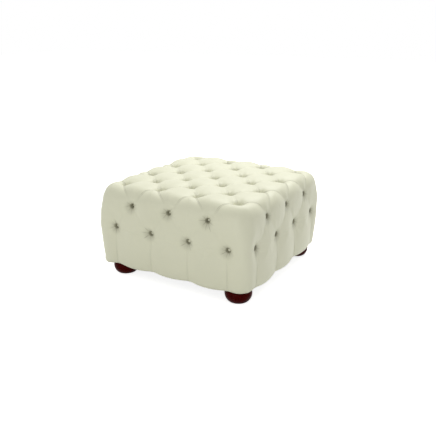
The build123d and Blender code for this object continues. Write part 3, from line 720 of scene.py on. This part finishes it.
def pressed_out(places, faces, held, most_in, most_out, outward):
    """Where a sheet comes to rest when its stuffing presses it out between the places that hold it."""
    sheet = mesh_piece("slack_sheet", places, faces)
    group = sheet.vertex_groups.new(name="held")
    grades = 20
    graded = np.round(held * grades).astype(int)
    for grade in range(1, grades + 1):
        group.add(np.nonzero(graded == grade)[0].tolist(), grade / grades, "REPLACE")
    cloth = sheet.modifiers.new("stuffing", "CLOTH")
    settings = cloth.settings
    settings.quality = 4
    settings.mass = 0.25
    settings.tension_stiffness = 25.0
    settings.compression_stiffness = 12.0
    settings.shear_stiffness = 8.0
    settings.bending_stiffness = 0.6
    settings.vertex_group_mass = "held"
    settings.pin_stiffness = 1.0
    settings.use_pressure = True
    settings.uniform_pressure_force = 3.0
    settings.shrink_min = -0.004
    settings.effector_weights.gravity = 0.0
    last_frame = 14
    cloth.point_cache.frame_start = 1
    cloth.point_cache.frame_end = last_frame
    for number in range(1, last_frame + 1):
        scene.frame_set(number)
    graph = bpy.context.evaluated_depsgraph_get()
    mesh = bpy.data.meshes.new_from_object(sheet.evaluated_get(graph), depsgraph=graph)
    rested = np.empty(3 * len(places), np.float32)
    mesh.vertices.foreach_get("co", rested)
    moved = rested.reshape(-1, 3) - places
    bpy.data.objects.remove(sheet)
    bpy.data.meshes.remove(mesh)
    scene.frame_set(1)
    lifted = np.einsum("ij,ij->i", moved, outward)
    kept = np.clip(lifted, -most_in, most_out)
    return places + outward * kept[:, None]


def thickened(piece, thickness):
    """Makes a sheet thick, inwards from the face that shows."""
    modifier = piece.modifiers.new("thickness", "SOLIDIFY")
    modifier.thickness = thickness
    modifier.offset = -1.0


# How far from a button or a fold, and up to which height, the leather is held, and over which width
# the hold fades. A fold holds less than a button.
button_hold, fold_hold, hem_hold, fold_grip = (0.016, 0.006), (0.003, 0.002), (0.056, 0.006), 0.8
most_in, most_out = 0.0010, 0.0025
wrinkle_reach = 0.045


def holding(distance, hold):
    """How firmly the leather is held at a distance from what holds it."""
    end, width = hold
    return np.clip((end - distance) / width, 0, 1)


placed = points - normals * push[:, None]
by_fold = fold_grip * fold_strength * holding(fold, fold_hold)
held = np.maximum(np.maximum(holding(nearest, button_hold), by_fold), holding(placed[:, 2], hem_hold))
placed = pressed_out(placed, faces, held, most_in, most_out, normals)
cover = mesh_piece("tufted_cover", placed, faces)
for name, values in (
    ("fold", fold),
    ("fold_strength", fold_strength),
    ("across_fold", across_fold),
    ("near_button", np.clip(1 - nearest / wrinkle_reach, 0, 1)),
):
    layer = cover.data.attributes.new(name, "FLOAT", "POINT")
    layer.data.foreach_set("value", values.astype(np.float32))
layer = cover.data.attributes.new("from_button", "FLOAT_VECTOR", "POINT")
layer.data.foreach_set("vector", offset.astype(np.float32).ravel())
thickened(cover, leather_thickness)

leather, tree, shader = new_material("ivory_leather", {"Roughness": 0.45, "Specular IOR Level": 0.35})
where = own_space(tree)
dull_ivory, light_ivory, shade_olive = (0.76, 0.76, 0.575, 1), (0.81, 0.81, 0.62, 1), (0.20, 0.19, 0.12, 1)
hide = pattern(tree, "Noise", where, scale=9.0, values={"Detail": 3.0})
tint = mixed_colour(tree, dull_ivory, light_ivory, hide.outputs["Fac"])
measured = {}
for name in ("fold", "fold_strength", "across_fold", "near_button", "from_button"):
    measured[name] = add_node(tree, "ShaderNodeAttribute", attribute_name=name).outputs
# Two stitch-fine lines a few millimetres apart, where the folded leather turns in and comes out again,
# cut into the relief and darkened with painted shade. They fade past the ends of the fold and close to its
# buttons.
line_offset, line_width = 0.0022, 0.0016
near = measured["near_button"]["Fac"]
across = calculated(tree, "ABSOLUTE", measured["across_fold"]["Fac"])
from_line = calculated(tree, "ABSOLUTE", calculated(tree, "SUBTRACT", across, line_offset))
line = measured["fold_strength"]["Fac"]
for value, start, end in (
    (from_line, 0.0, line_width),
    (measured["fold"]["Fac"], 0.006, 0.009),
    (near, 0.6, 0.8),
):
    line = calculated(tree, "MULTIPLY", ramped(tree, value, start, end, low=1.0, high=0.0), line)
# Wrinkles that run out from each button, fading within a few centimetres. Each button has its own
# number, which turns and shifts them.
wrinkle_count, turn_each, unevenness = 9, 3.33, 3.0
apart = add_node(tree, "ShaderNodeSeparateXYZ", {0: measured["from_button"]["Vector"]})
flat = add_node(tree, "ShaderNodeCombineXYZ", {0: apart.outputs["X"], 1: apart.outputs["Y"]})
way = add_node(tree, "ShaderNodeVectorMath", {0: flat.outputs[0]}, operation="NORMALIZE").outputs[0]
own = calculated(tree, "MULTIPLY", apart.outputs["Z"], turn_each)
own_place = add_node(tree, "ShaderNodeCombineXYZ", {2: own}).outputs[0]
shifted = add_node(tree, "ShaderNodeVectorMath", {0: way, 1: own_place}, operation="ADD").outputs[0]
uneven = pattern(tree, "Noise", shifted, scale=1.3).outputs["Fac"]
angle = calculated(tree, "ARCTAN2", apart.outputs["Y"], apart.outputs["X"])
turned_by = calculated(tree, "MULTIPLY_ADD", uneven, unevenness, own)
wave = calculated(tree, "SINE", calculated(tree, "MULTIPLY_ADD", angle, wrinkle_count / 2, turned_by))
ray = calculated(tree, "ABSOLUTE", wave)
wrinkle = calculated(tree, "MULTIPLY", ray, ramped(tree, near, 0.15, 0.75, 0.0, 1.0))
# Painted shade in the pinched leather close round a button, soft painted shade farther out, and dark
# painted lines in the wrinkles' hollows, longest down and to one side. The wells of the top lie open to
# the light, so they show less of it.
shade_lean, line_shade = (0.10, -0.08, 0.0), 0.52
lean = add_node(tree, "ShaderNodeVectorMath", {0: way, 1: shade_lean}, operation="DOT_PRODUCT")
leaning = calculated(tree, "ADD", near, lean.outputs["Value"])
reach = calculated(tree, "ADD", calculated(tree, "SUBTRACT", uneven, 0.5), leaning)
hollow = ramped(tree, ray, 0.0, 0.38, low=1.0, high=0.0)
hollow = calculated(tree, "MULTIPLY", hollow, ramped(tree, reach, 0.40, 0.80, low=0.0, high=0.85))
close = calculated(tree, "MAXIMUM", ramped(tree, near, 0.7, 0.84, low=0.0, high=1.0), hollow)
pinched = calculated(tree, "MAXIMUM", close, ramped(tree, leaning, 0.3, 0.9, low=0.0, high=0.4))
level = add_node(tree, "ShaderNodeSeparateXYZ", {0: where})
open_to_light = ramped(tree, level.outputs["Z"], start=0.294, end=0.304, low=0.8, high=0.3)
shade = calculated(tree, "MULTIPLY", pinched, open_to_light)
# The painted shade of the fold lines and the wells darkens the leather's tint towards olive.
painted_shade = calculated(tree, "MULTIPLY_ADD", line, line_shade, shade)
tint_with_painted_shade = mixed_colour(tree, tint, shade_olive, painted_shade)
# The relief is in millimetres: fine grain, lines cut into it and raised wrinkles
grain_height, line_height, wrinkle_height = 0.06, -0.85, 1.1
grain = pattern(tree, "Voronoi", where, scale=780.0, feature="DISTANCE_TO_EDGE")
height = calculated(tree, "MULTIPLY", grain.outputs["Distance"], grain_height)
height = calculated(tree, "MULTIPLY_ADD", line, line_height, height)
height = calculated(tree, "MULTIPLY_ADD", wrinkle, wrinkle_height, height)
surfaced(tree, shader, tint_with_painted_shade, height, depth=0.001)
cover.data.materials.append(leather)
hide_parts("cover")
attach(cover, "root")


# The buttons: wooden moulds covered in the same leather, drawn tight so that it shines more, each
# pulled into its well by its eye. Geometry Nodes put one on each place, facing out of its side.
def turned(profile_points, segments, gather=0.0, gathers=1):
    """A shape turned about the Z axis, from (radius, height) points that start and end on it."""
    angles = np.linspace(0, 2 * math.pi, segments, endpoint=False)
    rings = profile_points[1:-1]
    points = [(0, 0, profile_points[0][1])]
    for number, (radius, height) in enumerate(rings):
        ripple = radius * (1 + gather * np.cos(gathers * angles) * (1 - number / len(rings)))
        points += list(zip(ripple * np.cos(angles), ripple * np.sin(angles), np.full(segments, height)))
    points.append((0, 0, profile_points[-1][1]))
    faces = []
    for k in range(segments):
        after = (k + 1) % segments
        faces.append((0, 1 + after, 1 + k))
        for r in range(len(rings) - 1):
            low, high = 1 + r * segments, 1 + (r + 1) * segments
            faces.append((low + k, low + after, high + after, high + k))
        last = 1 + (len(rings) - 1) * segments
        faces.append((last + k, last + after, len(points) - 1))
    return points, faces


button_radius, button_height, button_rim = 0.0095, 0.0070, 0.0016
seat_depths = {"upper": 0.0275, "lower": 0.0262}
dome = [(0, 0), (0.8 * button_radius, 0), (button_radius, button_rim)]
dome_points = 9
for turn in np.linspace(0, math.pi / 2, dome_points)[1:]:
    lift = button_rim + (button_height - button_rim) * math.sin(turn)
    dome.append((button_radius * math.cos(turn), lift))
dome[-1] = (0, button_height)
mould = mesh_piece("covered_mould", *turned(dome, segments=28, gather=0.03, gathers=9))
tight_leather = leather.copy()
tight_leather.name = "tight_ivory_leather"
shader = node_of_type(tight_leather.node_tree, "BSDF_PRINCIPLED")
shader.inputs["Roughness"].default_value = 0.28
shader.inputs["Specular IOR Level"].default_value = 0.6

placing, given, taken = new_group(
    "buttons_on_places",
    {"Places": "Geometry", "Button": "Object", "Leather": "Material", "Size": "Float", "Seed": "Int"},
    {"Buttons": "Geometry"},
    "GeometryNodeTree",
)
placing.is_modifier = True
mould_node = add_node(placing, "GeometryNodeObjectInfo", {"Object": given.outputs["Button"]})
outward_node = add_node(
    placing, "GeometryNodeInputNamedAttribute", {"Name": "outward"}, data_type="FLOAT_VECTOR"
)
facing = add_node(placing, "FunctionNodeAlignRotationToVector", {"Vector": outward_node.outputs[0]}, axis="Z")
spin = add_node(placing, "FunctionNodeRandomValue", {"Seed": given.outputs["Seed"]}, data_type="FLOAT")
spin.inputs[3].default_value = 2 * math.pi  # its highest value
spun_round = add_node(placing, "ShaderNodeCombineXYZ", {"Z": spin.outputs[1]})
turned_round = add_node(
    placing,
    "FunctionNodeRotateRotation",
    {"Rotation": facing.outputs[0], "Rotate By": spun_round.outputs[0]},
    rotation_space="LOCAL",
)
on_places = add_node(
    placing,
    "GeometryNodeInstanceOnPoints",
    {
        "Points": given.outputs["Places"],
        "Instance": mould_node.outputs["Geometry"],
        "Rotation": turned_round.outputs[0],
        "Scale": given.outputs["Size"],
    },
)
real = add_node(placing, "GeometryNodeRealizeInstances", {"Geometry": on_places.outputs[0]})
covered = add_node(
    placing, "GeometryNodeSetMaterial", {"Geometry": real.outputs[0], "Material": given.outputs["Leather"]}
)
placing.links.new(covered.outputs[0], taken.inputs["Buttons"])


def made_by_nodes(name, places, tree, values):
    """The plain mesh that a Geometry Nodes tree makes on a piece's points."""
    work = new_object(name + "_places", places)
    modifier = work.modifiers.new("nodes", "NODES")
    modifier.node_group = tree
    for item in tree.interface.items_tree:
        if item.in_out == "INPUT" and item.name in values:
            modifier[item.identifier] = values[item.name]
    graph = bpy.context.evaluated_depsgraph_get()
    mesh = bpy.data.meshes.new_from_object(work.evaluated_get(graph), depsgraph=graph)
    bpy.data.objects.remove(work)
    mesh.name = name
    mesh.shade_smooth()
    return new_object(name, mesh)


for number, name in enumerate(("top", *sides)):
    if name == "top":
        base = crown_z - well_kinds["top"][0]
        spots = [(x, y, base) for x, y, kind in buttons if kind == "top"]
        outward = (0, 0, 1)
    else:
        cos, sin = ((0, -1), (1, 0), (0, 1), (-1, 0))[sides.index(name)]
        spots = []
        for x, y, kind in buttons:
            if kind != "top":
                base = half_side - seat_depths[kind]
                height = crown_z - edge_radius - (x - row - edge_start - edge_run)
                spots.append((cos * base - sin * y, sin * base + cos * y, height))
        outward = (cos, sin, 0)
    places = bpy.data.meshes.new(f"{name}_button_places")
    places.from_pydata(spots, [], [])
    layer = places.attributes.new("outward", "FLOAT_VECTOR", "POINT")
    layer.data.foreach_set("vector", np.tile(np.array(outward, np.float32), len(spots)))
    values = {"Button": mould, "Leather": tight_leather, "Size": 1.0, "Seed": number}
    set_of_buttons = made_by_nodes(f"{name}_covered_buttons", places, placing, values)
    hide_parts(f"{name}_buttons")
    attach(set_of_buttons, "root")
bpy.data.objects.remove(mould)

# The dust cover: black spun-bonded cloth stretched over the underside, stapled round its edge. It
# sags a little in the middle.
dust_low, dust_high = (np.array(corner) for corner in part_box("dust_cover"))
dust_half = dust_high[0]
dust_thickness = dust_high[2] - dust_low[2]
sag, threads = 0.0015, 65
line = np.linspace(-dust_half, dust_half, threads)
grid_x, grid_y = (axis.ravel() for axis in np.meshgrid(line, line, indexing="ij"))
drop = sag * (1 - (grid_x / dust_half) ** 2) * (1 - (grid_y / dust_half) ** 2)
cloth_points = np.stack([grid_x, grid_y, dust_low[2] - drop], axis=1)
cloth_faces = [(a, d, c, b) for a, b, c, d in grid_faces(threads, threads)]
dust_cover = mesh_piece("dust_cover_cloth", cloth_points, cloth_faces)
thickened(dust_cover, dust_thickness)
dust_cloth, tree, shader = new_material("spun_bonded_cloth", {"Roughness": 0.85, "Specular IOR Level": 0.2})
where = own_space(tree)
tones = {"Light Fibre": (0.045, 0.045, 0.05, 1), "Dark Fibre": (0.012, 0.012, 0.014, 1), "Fibres": 900.0}
fibre_relief = 0.4
web = grouped(tree, spun, where, tones)
bonds = pattern(tree, "Voronoi", where, scale=420.0, values={"Randomness": 0.0})
pressed = ramped(tree, bonds.outputs["Distance"], 0.15, 0.3, low=0.0, high=1.0)
relief = calculated(tree, "MULTIPLY_ADD", web.outputs["Height"], fibre_relief, pressed)
surfaced(tree, shader, web.outputs["Color"], relief, depth=0.0002)
dust_cover.data.materials.append(dust_cloth)
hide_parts("dust_cover")
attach(dust_cover, "root")

# The feet: bun feet turned from mahogany, stained dark and lacquered, with faint rings left by the
# turning. Each hangs on a bolt in its corner block, with a recess below for its glide.
bulge_radius, bulge_height = 0.046, 0.027
foot_top_radius, foot_top = 0.041, 0.0415
foot_base_radius, foot_lift = 0.034, 0.001
recess_radius, recess_height = 0.0141, 0.004
foot_rings = (0.0085, 0.0165, 0.0345)
ring_depth, ring_width = 0.0004, 0.0009


def bun_arc(end_radius, end_height, count):
    """The arc from the widest place of the foot, upright there, to its end."""
    rise = end_height - bulge_height
    middle = (bulge_radius**2 - end_radius**2 - rise**2) / (2 * (bulge_radius - end_radius))
    radius = bulge_radius - middle
    angles = np.linspace(0, math.asin(rise / radius), count)
    return [(middle + radius * math.cos(a), bulge_height + radius * math.sin(a)) for a in angles]


foot_profile = [(0, recess_height), (recess_radius, recess_height), (recess_radius, foot_lift)]
for radius, height in (
    *bun_arc(foot_base_radius, foot_lift, count=40)[::-1],
    *bun_arc(foot_top_radius, foot_top, count=24)[1:],
):
    cut = sum(math.exp(-(((height - ring) / ring_width) ** 2)) for ring in foot_rings)
    foot_profile.append((radius - ring_depth * cut, height))
foot_profile.append((0, foot_top))
foot_points, foot_faces = turned(foot_profile, segments=96)
red_brown, dark_brown = (0.078, 0.0020, 0.0008, 1), (0.038, 0.0007, 0.0003, 1)
lacquered = {"Roughness": 0.3, "Specular IOR Level": 0.024}
mahogany = wood(
    "dark_mahogany", (1, 1, 0.25), red_brown, dark_brown, ring_scale=90.0, plain=lacquered, depth=0.00008
)[0]
for corner in corners:
    low, high = (np.array(end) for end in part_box(f"{corner}_foot"))
    axis = (low + high) / 2
    place = np.append(axis[:2], 0.0)
    foot = mesh_piece(f"{corner}_bun_foot", np.array(foot_points) + place, foot_faces)
    foot.data.materials.append(mahogany)
    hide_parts(f"{corner}_foot")
    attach(foot, "root")

# The glides: nylon discs nailed into the feet, scuffed where they slide. They keep their CAD shape.
nylon, tree, shader = new_material("moulded_nylon", {"Specular IOR Level": 0.4})
dark_nylon, worn_nylon = (0.05, 0.045, 0.04, 1), (0.1, 0.09, 0.08, 1)
scuffs = pattern(tree, "Noise", own_space(tree), scale=420.0, values={"Detail": 4.0}).outputs["Fac"]
scuffed = mixed_colour(tree, dark_nylon, worn_nylon, scuffs)
tree.links.new(ramped(tree, scuffs, 0.3, 0.7, low=0.35, high=0.6), shader.inputs["Roughness"])
surfaced(tree, shader, scuffed, scuffs, depth=0.0001)
finish(nylon, "foot_glides")
